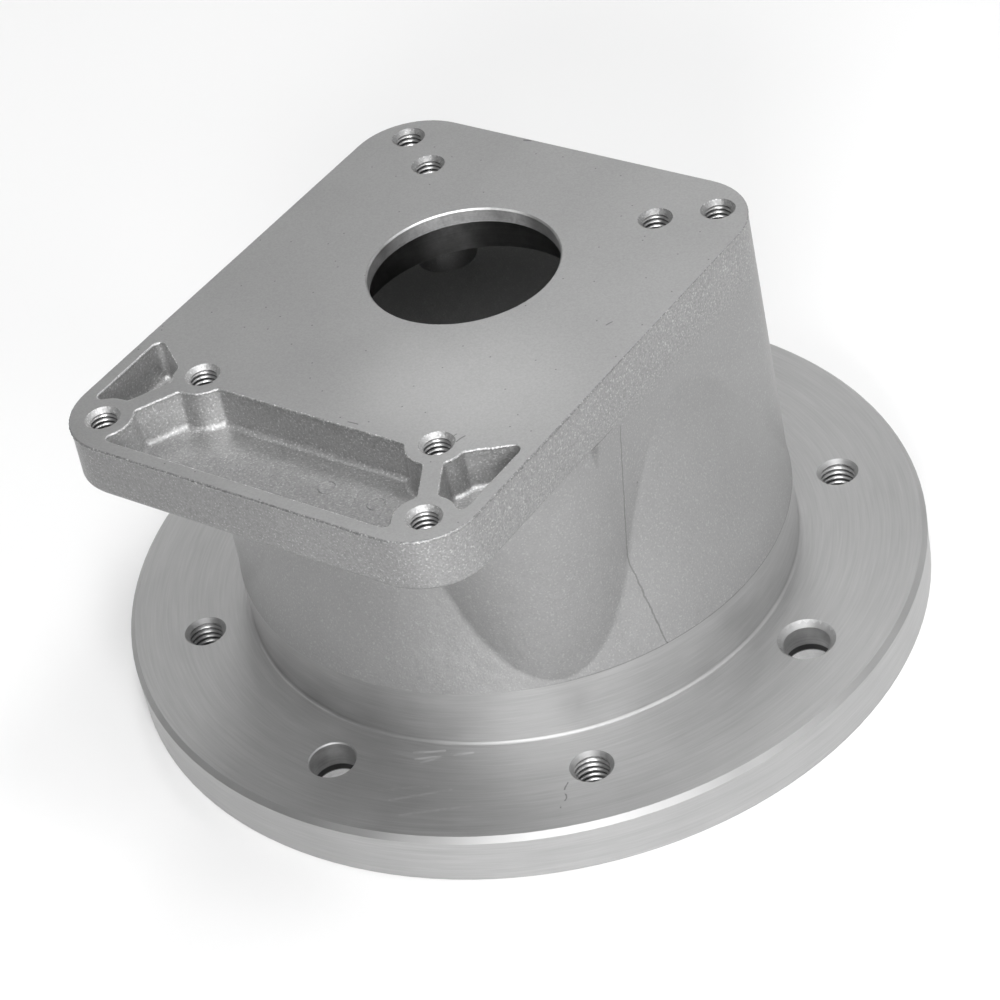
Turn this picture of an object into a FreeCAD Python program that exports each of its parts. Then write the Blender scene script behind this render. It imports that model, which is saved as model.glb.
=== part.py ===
import FreeCAD, Part
import math
import os

# Cast bell housing that joins a gear pump to an electric motor.
# The origin lies on the bore axis, in the machined motor face of the round
# flange. +Z is the bore axis, +X and -X are the plain sides of the pump plate
# and -Y is the side where the plate overhangs the body. All sizes are in mm.

# Motor flange
FLANGE_D = 160.0
FLANGE_T = 10.0
FLANGE_TOP_CHAMFER = 1.0
BOLT_CIRCLE_D = 130.0
CLEARANCE_HOLE_D = 9.0
CLEARANCE_HOLE_CHAMFER = 0.25
WIDE_HOLE_CHAMFER = 1.1
M8_TAP_D = 6.8
M8_MOUTH_CHAMFER = 0.8
CLEARANCE_HOLE_ANGLES = (90.0, 180.0, 270.0)
WIDE_CHAMFER_ANGLES = (0.0,)
M8_ANGLES = (45.0, 135.0, 225.0, 315.0)

# Recess for the spigot of the motor, open downwards
MOTOR_SPIGOT_D = 110.0
SPIGOT_CLEARANCE = 0.05
RECESS_DEPTH = 4.5

# Turned shoulder with the cast cone above it
SHOULDER_R = 55.0
SHOULDER_TOP_Z = 22.5
FOOT_CHAMFER = 1.1

# Pump plate
PLATE_TOP_Z = 80.0
PLATE_T = 11.0
HOLE_TO_SIDE = 7.85
HOLE_TO_FAR_END = 7.6
HOLE_TO_NEAR_END = 7.7
PLATE_CORNER_R = 12.0
CONE_INSET = 4.0
LIP_FRONT_FILLET = 1.5
LIP_SIDE_FILLET = 0.4
CAST_DRAFT_DEG = 1.25

# Rounded block under the plate. Its corners stand out of the cone as lobes.
BLOCK_NEAR_EXTRA = 1.0
BLOCK_NEAR_CORNER_R = 21.3
BLOCK_FAR_CORNER_R = 13.6
CREASE_FILLET = 3.0

# Inside of the bell
BELL_WALL = 7.0
PLATE_OVER_CAVITY = 11.4
CAVITY_ROOF_FROM_Z = 60.5
CAVITY_ROOF_TAPER = 5.0
SCREW_BOSS_R = 6.0
SCREW_BOSS_END_Z = 58.5

# Pilot bore for the pump
PILOT_D = 36.5
PILOT_LAND = 3.0
PILOT_CHAMFER = 0.3
RELIEF_D = 44.0

# M6 tapped holes for two pump sizes
M6_TAP_D = 5.0
M6_MOUTH_CHAMFER = 0.85
M6_DEPTH_IN_LIP = 8.5
M6_DEPTH_IN_BODY = 14.0
WIDE_PATTERN_X = 71.5
WIDE_PATTERN_Y = 96.2
WIDE_FAR_ROW_Y = 32.5
SLIM_PATTERN_X = 52.4
SLIM_PATTERN_Y = 72.0
SLIM_FAR_ROW_Y = 25.7

# Lightening pockets in the overhang of the plate
POCKET_DEPTH = 8.0
POCKET_DRAFT_DEG = 3.0
POCKET_FLOOR_BEVEL = 0.6
POCKET_CORNER_R = 1.3
POCKET_TIP_R = 1.6
BOSS_R = 5.5
RIB_T = 3.2
FRONT_RIM = 2.4
SIDE_RIM = 2.3
HOLE_TO_BACK = 2.1
HOLE_TO_SLANT_X = 5.8
HOLE_TO_SLANT_Y = 0.3
SLANT_DEG = 34.1

# Values that follow from the ones above
Vec = FreeCAD.Vector
UP = Vec(0, 0, 1)
NEAR = 0.01
OVERSHOOT = 1.0
LIP_Z = PLATE_TOP_Z - PLATE_T
PLATE_HALF_X = WIDE_PATTERN_X / 2 + HOLE_TO_SIDE
PLATE_FAR_Y = WIDE_FAR_ROW_Y + HOLE_TO_FAR_END
PLATE_NEAR_Y = WIDE_FAR_ROW_Y - WIDE_PATTERN_Y - HOLE_TO_NEAR_END
BLOCK_NEAR_Y = -PLATE_HALF_X - BLOCK_NEAR_EXTRA
CONE_TOP_R = PLATE_HALF_X - CONE_INSET
CONE_SLOPE = (SHOULDER_R - CONE_TOP_R) / (PLATE_TOP_Z - SHOULDER_TOP_Z)
RECESS_R = MOTOR_SPIGOT_D / 2 + SPIGOT_CLEARANCE
CAVITY_R = SHOULDER_R - BELL_WALL
CAVITY_TOP_Z = PLATE_TOP_Z - PLATE_OVER_CAVITY
CAVITY_ROOF_R = CAVITY_R - CONE_SLOPE * (CAVITY_ROOF_FROM_Z - SHOULDER_TOP_Z)
BOSS_WIDE = Vec(WIDE_PATTERN_X / 2, WIDE_FAR_ROW_Y - WIDE_PATTERN_Y, 0)
BOSS_SLIM = Vec(SLIM_PATTERN_X / 2, SLIM_FAR_ROW_Y - SLIM_PATTERN_Y, 0)


def straight(a, b):
    """Straight edge from a to b."""
    return Part.LineSegment(a, b).toShape()


def arc_about(centre, radius, a, b):
    """Arc of less than half a turn about the centre, from a to b."""
    middle = (a - centre) + (b - centre)
    middle.normalize()
    return Part.Arc(a, centre + middle * radius, b).toShape()


def revolved(points):
    """Solid of revolution about Z from an outline of (radius, z) points."""
    outline = [Vec(r, 0, z) for r, z in points]
    outline.append(outline[0])
    return Part.Face(Part.makePolygon(outline)).revolve(Vec(0, 0, 0), UP, 360)


def mirrored(shape):
    """Copy of the shape on the other side of the YZ plane."""
    return shape.mirror(Vec(0, 0, 0), Vec(1, 0, 0))


def edges_where(shape, test):
    """Edges of the shape that pass the test."""
    return [edge for edge in shape.Edges if test(edge)]


def flat_at(edge, z):
    """True for an edge that lies wholly at height z."""
    box = edge.BoundBox
    return max(abs(box.ZMin - z), abs(box.ZMax - z)) < NEAR


# Outside of the casting

def widening(z):
    """Outward growth of a drafted wall from the plate top down to height z."""
    return math.tan(math.radians(CAST_DRAFT_DEG)) * (PLATE_TOP_Z - z)


def rounded_outline(z, half_x, far_y, near_y, far_r, near_r):
    """Rectangle across X at height z with a corner radius for each end. A
    zero radius leaves the corners of that end square."""
    joints = []
    for sx, y, r in (
        (1, near_y, near_r), (1, far_y, far_r),
        (-1, far_y, far_r), (-1, near_y, near_r),
    ):
        inwards = 1 if y == near_y else -1
        centre = Vec(sx * (half_x - r), y + inwards * r, z)
        on_end = Vec(centre.x, y, z)
        on_side = Vec(sx * half_x, centre.y, z)
        first, last = (on_end, on_side) if sx == inwards else (on_side, on_end)
        joints.append((centre, r, first, last))
    edges = []
    for k, (centre, r, first, last) in enumerate(joints):
        if r > 0:
            edges.append(arc_about(centre, r, first, last))
        edges.append(straight(last, joints[(k + 1) % len(joints)][2]))
    return Part.Wire(edges)


def block_outline(z):
    """Outline of the rounded block under the plate at height z. Its corner
    arcs keep their centres and grow with the draft."""
    grow = widening(z)
    return rounded_outline(
        z, PLATE_HALF_X + grow, PLATE_FAR_Y + grow, BLOCK_NEAR_Y - grow,
        BLOCK_FAR_CORNER_R + grow, BLOCK_NEAR_CORNER_R + grow)


def is_crease(edge):
    """True for the edges where the walls of the block run out on the cone."""
    middle = edge.valueAt(sum(edge.ParameterRange) / 2)
    cone_r = SHOULDER_R - CONE_SLOPE * (middle.z - SHOULDER_TOP_Z)
    inside = SHOULDER_TOP_Z + NEAR < middle.z < PLATE_TOP_Z - NEAR
    on_cone = abs(math.hypot(middle.x, middle.y) - cone_r) < NEAR
    return inside and on_cone and len(edge.Vertexes) == 2 and not is_seam(edge)


def is_seam(edge):
    """True for a straight edge in the plane of the bore axis."""
    return isinstance(edge.Curve, Part.Line)


def bell_outside():
    """Flange, turned shoulder and cone with the rounded block blended in."""
    flange_r = FLANGE_D / 2
    turned = revolved([
        (0, 0),
        (flange_r, 0),
        (flange_r, FLANGE_T - FLANGE_TOP_CHAMFER),
        (flange_r - FLANGE_TOP_CHAMFER, FLANGE_T),
        (SHOULDER_R + FOOT_CHAMFER, FLANGE_T),
        (SHOULDER_R, FLANGE_T + FOOT_CHAMFER),
        (SHOULDER_R, SHOULDER_TOP_Z),
        (CONE_TOP_R, PLATE_TOP_Z),
        (0, PLATE_TOP_Z),
    ])
    levels = (SHOULDER_TOP_Z, PLATE_TOP_Z)
    block = Part.makeLoft([block_outline(z) for z in levels], True, True)
    body = turned.fuse(block).removeSplitter()
    return body.makeFillet(CREASE_FILLET, edges_where(body, is_crease))


def lip_fillet(edge):
    """Start and end radius of the rounding along a lower edge of the lip:
    full along the front, fading out round the corners, small on the sides."""
    if isinstance(edge.Curve, Part.Circle):
        ends = [abs(edge.valueAt(t).x) for t in edge.ParameterRange]
        front_first = ends[0] < ends[1]
        pair = (LIP_FRONT_FILLET, LIP_SIDE_FILLET)
        return pair if front_first else pair[::-1]
    box = edge.BoundBox
    radius = LIP_FRONT_FILLET if box.XLength > box.YLength else LIP_SIDE_FILLET
    return radius, radius


def plate_lip():
    """Near half of the pump plate, which overhangs the block. It ends on the
    bore axis, inside the block, and shares the side walls with it."""
    outlines = []
    for z in (LIP_Z, PLATE_TOP_Z):
        grow = widening(z)
        outlines.append(rounded_outline(
            z, PLATE_HALF_X + grow, 0.0, PLATE_NEAR_Y - grow,
            0.0, PLATE_CORNER_R + grow))
    lip = Part.makeLoft(outlines, True, True)
    document = FreeCAD.newDocument("lip")
    base = document.addObject("Part::Feature", "base")
    base.Shape = lip
    rounded = document.addObject("Part::Fillet", "rounded")
    rounded.Base = base
    rounded.Edges = [
        (k, *lip_fillet(edge)) for k, edge in enumerate(lip.Edges, 1)
        if flat_at(edge, LIP_Z) and edge.BoundBox.YMin < -NEAR]
    document.recompute()
    return rounded.Shape.copy()


# Inside and holes

def bell_inside():
    """Spigot recess and hollow of the bell."""
    hollow = revolved([
        (0, -OVERSHOOT),
        (RECESS_R, -OVERSHOOT),
        (RECESS_R, RECESS_DEPTH),
        (CAVITY_R, RECESS_DEPTH),
        (CAVITY_R, SHOULDER_TOP_Z),
        (CAVITY_ROOF_R, CAVITY_ROOF_FROM_Z),
        (CAVITY_ROOF_R - CAVITY_ROOF_TAPER, CAVITY_TOP_Z),
        (0, CAVITY_TOP_Z),
    ])
    height = CAVITY_TOP_Z - SCREW_BOSS_END_Z + OVERSHOOT
    bosses = [
        Part.makeCylinder(
            SCREW_BOSS_R, height,
            Vec(sx * SLIM_PATTERN_X / 2, SLIM_FAR_ROW_Y, SCREW_BOSS_END_Z))
        for sx in (1, -1)]
    return hollow.cut(bosses)


def pilot_bore():
    """Pilot bore of the pump with the wider relief below its land."""
    land_z = PLATE_TOP_Z - PILOT_LAND
    pilot_r = PILOT_D / 2
    return revolved([
        (0, CAVITY_TOP_Z - OVERSHOOT),
        (RELIEF_D / 2, CAVITY_TOP_Z - OVERSHOOT),
        (RELIEF_D / 2, land_z),
        (pilot_r, land_z),
        (pilot_r, PLATE_TOP_Z - PILOT_CHAMFER),
        (pilot_r + PILOT_CHAMFER + OVERSHOOT, PLATE_TOP_Z + OVERSHOOT),
        (0, PLATE_TOP_Z + OVERSHOOT),
    ])


def blind_hole(x, y, depth):
    """Tapped hole from the plate top, with a chamfered mouth."""
    radius = M6_TAP_D / 2
    hole = revolved([
        (0, PLATE_TOP_Z - depth),
        (radius, PLATE_TOP_Z - depth),
        (radius, PLATE_TOP_Z - M6_MOUTH_CHAMFER),
        (radius + M6_MOUTH_CHAMFER + OVERSHOOT, PLATE_TOP_Z + OVERSHOOT),
        (0, PLATE_TOP_Z + OVERSHOOT),
    ])
    return hole.translated(Vec(x, y, 0))


def flange_hole(angle, radius, chamfer):
    """Hole through the flange on the bolt circle, chamfered at the top."""
    hole = revolved([
        (0, -OVERSHOOT),
        (radius, -OVERSHOOT),
        (radius, FLANGE_T - chamfer),
        (radius + chamfer + OVERSHOOT, FLANGE_T + OVERSHOOT),
        (0, FLANGE_T + OVERSHOOT),
    ])
    a = math.radians(angle)
    away = BOLT_CIRCLE_D / 2
    return hole.translated(Vec(away * math.cos(a), away * math.sin(a), 0))


def pump_holes():
    """Tapped holes of both pump patterns."""
    holes = []
    for x, far_y, near_y in (
        (WIDE_PATTERN_X / 2, WIDE_FAR_ROW_Y, BOSS_WIDE.y),
        (SLIM_PATTERN_X / 2, SLIM_FAR_ROW_Y, BOSS_SLIM.y),
    ):
        for sx in (1, -1):
            holes.append(blind_hole(sx * x, far_y, M6_DEPTH_IN_BODY))
            holes.append(blind_hole(sx * x, near_y, M6_DEPTH_IN_LIP))
    return holes


def flange_holes():
    """Plain and tapped holes on the bolt circle of the flange."""
    kinds = (
        (CLEARANCE_HOLE_ANGLES, CLEARANCE_HOLE_D, CLEARANCE_HOLE_CHAMFER),
        (WIDE_CHAMFER_ANGLES, CLEARANCE_HOLE_D, WIDE_HOLE_CHAMFER),
        (M8_ANGLES, M8_TAP_D, M8_MOUTH_CHAMFER),
    )
    return [
        flange_hole(angle, diameter / 2, chamfer)
        for angles, diameter, chamfer in kinds for angle in angles]


# Lightening pockets

class Side:
    """Straight side of a pocket, with the pocket on the left of its run."""

    def __init__(self, point, along):
        self.point = point
        self.along = along

    def moved_in(self, distance):
        """The side shifted into the pocket."""
        left = UP.cross(self.along)
        return Side(self.point + left * distance, self.along)

    def nearest(self, place):
        """Point of the side that is nearest to the place."""
        return self.point + self.along * (place - self.point).dot(self.along)

    def edge(self, a, b):
        """Edge of the outline along the side, from a to b."""
        return straight(a, b)


class Boss:
    """Round boss that bulges into a pocket."""

    def __init__(self, centre, radius):
        self.centre = centre
        self.radius = radius

    def moved_in(self, distance):
        """The boss grown into the pocket."""
        return Boss(self.centre, self.radius + distance)

    def nearest(self, place):
        """Point of the rim that is nearest to the place."""
        out = place - self.centre
        return self.centre + out * (self.radius / out.Length)

    def edge(self, a, b):
        """Edge of the outline along the rim, from a to b."""
        return arc_about(self.centre, self.radius, a, b)


def meeting(first, second):
    """Point where one side of a pocket hands over to the next: two straight
    sides cross once, and a straight side meets a boss where it first reaches
    it or last leaves it."""
    if isinstance(first, Side) and isinstance(second, Side):
        left = UP.cross(second.along)
        step = (second.point - first.point).dot(left) / first.along.dot(left)
        return first.point + first.along * step
    side, boss, sign = (
        (first, second, -1) if isinstance(first, Side) else (second, first, 1))
    foot = side.nearest(boss.centre)
    half_chord = math.sqrt(boss.radius ** 2 - (foot - boss.centre).Length ** 2)
    return foot + side.along * (sign * half_chord)


def pocket_outline(sides, corner_radii, inset, z):
    """Closed outline of a pocket at height z, with its walls moved in by the
    inset and a round corner between each side and the next."""
    walls = [side.moved_in(inset) for side in sides]
    joints = []
    for k, wall in enumerate(walls):
        following = walls[(k + 1) % len(walls)]
        r = corner_radii[k] - inset
        centre = meeting(wall.moved_in(r), following.moved_in(r))
        joints.append((wall.nearest(centre), centre, r, following.nearest(centre)))
    edges = []
    for k, (end, centre, r, onwards) in enumerate(joints):
        edges.append(walls[k].edge(joints[k - 1][3], end))
        edges.append(arc_about(centre, r, end, onwards))
    outline = Part.Wire(edges)
    outline.translate(UP * z)
    return outline


def pocket(sides, corner_radii):
    """Drafted pocket with a bevelled floor edge, running out above the plate."""
    slope = math.tan(math.radians(POCKET_DRAFT_DEG))
    floor_z = PLATE_TOP_Z - POCKET_DEPTH
    outlines = [
        pocket_outline(sides, corner_radii, slope * (PLATE_TOP_Z - z), z)
        for z in (floor_z, PLATE_TOP_Z + OVERSHOOT)]
    tool = Part.makeLoft(outlines, True, True)
    floor = edges_where(tool, lambda e: flat_at(e, floor_z))
    return tool.makeChamfer(POCKET_FLOOR_BEVEL, floor)


def pockets():
    """Wide pocket between the ribs and one small pocket beside each rib."""
    along_rib = BOSS_WIDE - BOSS_SLIM
    along_rib.normalize()
    rib = Side(BOSS_SLIM, along_rib).moved_in(RIB_T / 2)
    inner_rib = Side(BOSS_SLIM, along_rib * -1).moved_in(RIB_T / 2)
    opposite = [Vec(-p.x, p.y, 0) for p in (BOSS_WIDE, BOSS_SLIM, inner_rib.point)]
    opposite_along = Vec(inner_rib.along.x, -inner_rib.along.y, 0)
    front = Side(Vec(0, PLATE_NEAR_Y + FRONT_RIM, 0), Vec(1, 0, 0))
    back = Side(Vec(0, BOSS_SLIM.y - HOLE_TO_BACK, 0), Vec(-1, 0, 0))
    wide_sides = [
        front,
        Boss(BOSS_WIDE, BOSS_R),
        inner_rib,
        Boss(BOSS_SLIM, BOSS_R),
        back,
        Boss(opposite[1], BOSS_R),
        Side(opposite[2], opposite_along),
        Boss(opposite[0], BOSS_R),
    ]
    wide = pocket(wide_sides, [POCKET_CORNER_R] * len(wide_sides))
    slant = math.radians(180 + SLANT_DEG)
    slant_point = BOSS_SLIM + Vec(HOLE_TO_SLANT_X, HOLE_TO_SLANT_Y, 0)
    small_sides = [
        Side(Vec(PLATE_HALF_X - SIDE_RIM, 0, 0), Vec(0, 1, 0)),
        Side(slant_point, Vec(math.cos(slant), math.sin(slant), 0)),
        Boss(BOSS_SLIM, BOSS_R),
        rib,
        Boss(BOSS_WIDE, BOSS_R),
    ]
    corners = [POCKET_TIP_R] + [POCKET_CORNER_R] * (len(small_sides) - 1)
    small = pocket(small_sides, corners)
    return [wide, small, mirrored(small)]


def bell_housing():
    """The whole casting as one solid."""
    casting = bell_outside().fuse(plate_lip())
    tools = [bell_inside(), pilot_bore()]
    tools += pump_holes() + flange_holes() + pockets()
    return casting.cut(tools).removeSplitter()


os.makedirs("parts", exist_ok=True)
housing = bell_housing()
if housing.ShapeType == "Compound" and len(housing.Solids) == 1:
    housing = housing.Solids[0]
housing.exportStep("parts/bell_housing.step")
print("solids", len(housing.Solids), "valid", housing.isValid(), "faces", len(housing.Faces))
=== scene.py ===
"""Looks of a cast bell housing: grainy cast skin, turned motor flange, milled
pump plate and cut threads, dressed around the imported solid."""

import logging
import math
from dataclasses import dataclass, field
from enum import Enum

import bpy
import numpy as np
from mathutils import Matrix, Vector


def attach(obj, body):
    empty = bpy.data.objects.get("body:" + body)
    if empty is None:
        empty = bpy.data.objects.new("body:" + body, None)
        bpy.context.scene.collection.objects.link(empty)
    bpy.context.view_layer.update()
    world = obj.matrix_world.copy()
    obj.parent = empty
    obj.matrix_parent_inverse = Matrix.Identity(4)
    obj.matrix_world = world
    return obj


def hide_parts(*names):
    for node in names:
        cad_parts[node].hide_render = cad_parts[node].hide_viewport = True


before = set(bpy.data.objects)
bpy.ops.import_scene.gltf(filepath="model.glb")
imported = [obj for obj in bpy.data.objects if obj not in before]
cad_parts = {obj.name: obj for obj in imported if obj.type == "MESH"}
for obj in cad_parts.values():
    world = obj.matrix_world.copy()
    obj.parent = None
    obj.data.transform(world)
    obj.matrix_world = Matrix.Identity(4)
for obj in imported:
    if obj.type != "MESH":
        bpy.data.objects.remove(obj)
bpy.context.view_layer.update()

log = logging.getLogger("bell_housing")
MM = 0.001
TAU = 2.0 * math.pi
NODE = "bell_housing"
BODY = "root"

# Sizes of the housing that the dressing follows, in mm. POCKET_CORNER_SUM is
# the largest |x| - y in the pockets, and BELOW_M6_Z lies below every M6 hole.
FLANGE_T = 10.0
BOLT_CIRCLE_R = 65.0
SHOULDER_R = 55.0
SHOULDER_TOP_Z = 22.5
FOOT_BEVEL = 1.1
PLATE_TOP_Z = 80.0
LAND_BOTTOM_Z = 77.0
LIP_EDGE_Z = 69.0
RELIEF_R = 22.0
CAVITY_TOP_Z = 68.6
RECESS_TOP_Z = 4.5
HOLLOW_MOUTH_R = 48.0
POCKET_FLOOR_Z = 72.0
POCKET_BEVEL = 0.6
POCKET_DRAFT = 0.052
POCKET_HALF_X = 42.2
POCKET_FRONT_Y = -70.3
POCKET_BACK_Y = -31.0
POCKET_CORNER_SUM = 104.5
M6_PLACES = ((35.75, 32.5), (26.2, 25.7), (26.2, -46.3), (35.75, -63.7))
M6_DEPTHS = (14.0, 14.0, 8.5, 8.5)
M6_DRILL_R = 2.5
M6_CHAMFER = 0.85
M6_THREAD_DEPTH = 0.5
M6_PITCH = 1.0
BELOW_M6_Z = 60.0
M8_DRILL_R = 3.4
M8_CHAMFER = 0.8
M8_THREAD_DEPTH = 0.62
M8_PITCH = 1.25
FLANGE_HOLE_REACH = 5.3
FLANGE_HOLES = 8


class Finish(Enum):
    """Surface kinds of the housing, in the order of its material slots."""

    CAST = 0
    TURNED = 1
    MILLED = 2
    BORED = 3


# Turn of the drawn-out gloss, so that it lies across marks that run round the axis
QUARTER_TURN = 0.25

WHITE = (1.0, 1.0, 1.0, 1.0)

# Mark of the drilled walls that a cut thread takes the place of
TAPPED = -1


# Shader expressions

class Signal:
    """A shader value that takes part in Python expressions."""

    def __init__(self, nodes: "Nodes", socket: bpy.types.NodeSocket) -> None:
        """Wraps one output socket of a node tree."""
        self.nodes = nodes
        self.socket = socket

    def _math(self, operation: str, *values: "Signal | float") -> "Signal":
        """Adds one Math node.

        Args:
            operation: Name of the Math operation.
            values: Its operands in order.

        Returns:
            The result of the operation.
        """
        inputs = dict(enumerate(values))
        return self.nodes.node("ShaderNodeMath", {"operation": operation}, inputs)

    def __add__(self, other: "Signal | float") -> "Signal":
        """Sum."""
        return self._math("ADD", self, other)

    def __radd__(self, other: float) -> "Signal":
        """Sum with a number on the left."""
        return self._math("ADD", other, self)

    def __sub__(self, other: "Signal | float") -> "Signal":
        """Difference."""
        return self._math("SUBTRACT", self, other)

    def __rsub__(self, other: float) -> "Signal":
        """Difference from a number."""
        return self._math("SUBTRACT", other, self)

    def __mul__(self, other: "Signal | float") -> "Signal":
        """Product."""
        return self._math("MULTIPLY", self, other)

    def __rmul__(self, other: float) -> "Signal":
        """Product with a number on the left."""
        return self._math("MULTIPLY", other, self)

    def __truediv__(self, other: "Signal | float") -> "Signal":
        """Quotient."""
        return self._math("DIVIDE", self, other)

    def __pow__(self, other: "Signal | float") -> "Signal":
        """Power."""
        return self._math("POWER", self, other)

    def size(self) -> "Signal":
        """Absolute value."""
        return self._math("ABSOLUTE", self)

    def least(self, other: "Signal | float") -> "Signal":
        """The smaller of two values."""
        return self._math("MINIMUM", self, other)

    def most(self, other: "Signal | float") -> "Signal":
        """The larger of two values."""
        return self._math("MAXIMUM", self, other)

    def fade(self, low: float, high: float) -> "Signal":
        """Smooth step from 0 at low to 1 at high, or down where low is larger.

        Args:
            low: Value that gives 0.
            high: Value that gives 1.

        Returns:
            The step, between 0 and 1.
        """
        settings = {"interpolation_type": "SMOOTHSTEP"}
        inputs = {"Value": self, "From Min": low, "From Max": high}
        if low > high:
            return 1.0 - self.fade(high, low)
        return self.nodes.node("ShaderNodeMapRange", settings, inputs)


class Nodes:
    """Node tree whose nodes all come from one method."""

    def __init__(self, tree: bpy.types.NodeTree) -> None:
        """Takes a tree and empties it."""
        self.tree = tree
        self.tree.nodes.clear()

    def raw(self, kind: str, settings: dict, inputs: dict) -> bpy.types.Node:
        """Adds any node: settings first, then its sockets.

        Args:
            kind: Type name of the node.
            settings: Properties of the node.
            inputs: Numbers or signals by socket name or place.

        Returns:
            The new node.
        """
        node = self.tree.nodes.new(kind)
        for key, value in settings.items():
            setattr(node, key, value)
        for key, value in inputs.items():
            if isinstance(value, Signal):
                self.tree.links.new(value.socket, node.inputs[key])
            else:
                node.inputs[key].default_value = value
        return node

    def node(self, kind: str, settings: dict, inputs: dict, out: str | int = 0) -> Signal:
        """Adds a node and returns one of its outputs.

        Args:
            kind: Type name of the node.
            settings: Properties of the node.
            inputs: Numbers or signals by socket name or place.
            out: Name or place of the output.

        Returns:
            That output as a signal.
        """
        return Signal(self, self.raw(kind, settings, inputs).outputs[out])


class Graph(Nodes):
    """Node tree of one material, with coordinates of the housing in mm."""

    def __init__(self, name: str) -> None:
        """Starts an empty material.

        Args:
            name: Name of the material.
        """
        self.material = bpy.data.materials.new(name)
        self.material.use_nodes = True
        super().__init__(self.material.node_tree)
        place = self.node("ShaderNodeTexCoord", {}, {}, "Object")
        scale = {"operation": "SCALE"}
        self.place = self.node(
            "ShaderNodeVectorMath", scale, {"Vector": place, "Scale": 1.0 / MM}, "Vector")
        parts = self.raw("ShaderNodeSeparateXYZ", {}, {"Vector": self.place})
        self.x, self.y, self.z = (Signal(self, parts.outputs[k]) for k in "XYZ")
        self.r = (self.x * self.x + self.y * self.y) ** 0.5

    def moved(self, seed: float) -> Signal:
        """The place moved along a slant, where a pattern looks different.

        Args:
            seed: How far it moves; 0 leaves it.

        Returns:
            The moved place in mm.
        """
        if seed == 0.0:
            return self.place
        shift = (37.0 * seed, -23.0 * seed, 11.0 * seed)
        settings = {"operation": "ADD"}
        return self.node("ShaderNodeVectorMath", settings, {0: self.place, 1: shift})

    def noise(self, per_mm: float, detail: float, seed: float = 0.0) -> Signal:
        """Cloudy noise over the surface.

        Args:
            per_mm: Features per mm.
            detail: Finer layers on top of the first.
            seed: Shift that gives another pattern.

        Returns:
            The noise, around 0.5.
        """
        inputs = {"Vector": self.moved(seed), "Scale": per_mm, "Detail": detail}
        return self.node("ShaderNodeTexNoise", {"noise_dimensions": "3D"}, inputs)

    def brushed(self, along: Signal, per_mm: float, per_radian: float) -> Signal:
        """Short streaks that run round the bore axis: noise of one value and of
        the direction from the axis.

        Args:
            along: The value that changes from streak to streak, in mm.
            per_mm: Streaks per mm.
            per_radian: How often a streak ends on its way round.

        Returns:
            The noise, around 0.5.
        """
        place = self.node("ShaderNodeCombineXYZ", {}, {
            "X": per_mm * along,
            "Y": per_radian * self.x / self.r,
            "Z": per_radian * self.y / self.r})
        inputs = {"Vector": place, "Scale": 1.0, "Detail": 1.0}
        return self.node("ShaderNodeTexNoise", {"noise_dimensions": "3D"}, inputs)

    def distance(self, x: float, y: float, across: Signal | None = None) -> Signal:
        """Distance in plan from a place.

        Args:
            x: Place across the plate, in mm.
            y: Place along the plate, in mm.
            across: What stands for x over the surface, where it isn't x itself.

        Returns:
            The distance in mm.
        """
        dx, dy = (across or self.x) - x, self.y - y
        return (dx * dx + dy * dy) ** 0.5

    def scratch(self, start: tuple, end: tuple, width: float, wander: float = 0.3) -> Signal:
        """Mask of a thin wavering line in plan between two places, which fades
        out at its width. The nearest point of the segment is start + t (end -
        start), with t held between 0 and 1.

        Args:
            start: First place in mm.
            end: Last place in mm.
            width: Width of the line in mm.
            wander: How far it wavers, in mm.

        Returns:
            The mask.
        """
        sx, sy = start
        dx, dy = end[0] - sx, end[1] - sy
        length = dx * dx + dy * dy
        waver = wander * (self.noise(0.4, 0.0, 0.1 * (sx + sy)) - 0.5)
        px, py = self.x - sx + waver, self.y - sy + waver
        t = ((px * dx + py * dy) / length).most(0.0).least(1.0)
        ox, oy = px - t * dx, py - t * dy
        return ((ox * ox + oy * oy) ** 0.5).fade(width, 0.3 * width)

    def pits(
        self, per_mm: float, size: float, share: float, seed: float, dimensions: str = "3D",
    ) -> Signal:
        """Mask of scattered small pits: the places near the centre of a share
        of the cells of a cellular pattern.

        Args:
            per_mm: Cells per mm.
            size: Size of a pit in mm.
            share: Share of the cells that hold one.
            seed: Shift that gives another pattern.
            dimensions: "2D" for a level face, else "3D".

        Returns:
            The mask.
        """
        inputs = {"Vector": self.moved(seed), "Scale": per_mm}
        cells = self.raw("ShaderNodeTexVoronoi", {"voronoi_dimensions": dimensions}, inputs)
        near = Signal(self, cells.outputs["Distance"]).fade(size * per_mm, 0.4 * size * per_mm)
        pick = self.raw("ShaderNodeSeparateXYZ", {}, {
            "Vector": Signal(self, cells.outputs["Color"])})
        return near * Signal(self, pick.outputs["X"]).fade(share + 0.01, share)

    def bump(self, height: Signal) -> Signal:
        """Normal of a fine surface relief, from its height in mm."""
        return self.node("ShaderNodeBump", {}, {"Height": height, "Distance": MM})

    def metal(self, shade: Signal, rough: Signal, normal: Signal, grooved: float) -> None:
        """Ends the material in one metal shader.

        Args:
            shade: Grey of the metal.
            rough: Roughness.
            normal: Normal with its relief.
            grooved: How far the gloss is drawn out across tool marks.
        """
        inputs = {
            "Base Color": shade, "Roughness": rough, "Normal": normal,
            "Metallic": 1.0, "Anisotropic": grooved, "Anisotropic Rotation": QUARTER_TURN}
        shader = self.node("ShaderNodeBsdfPrincipled", {}, inputs)
        self.raw("ShaderNodeOutputMaterial", {}, {"Surface": shader})


# Finishes

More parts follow.
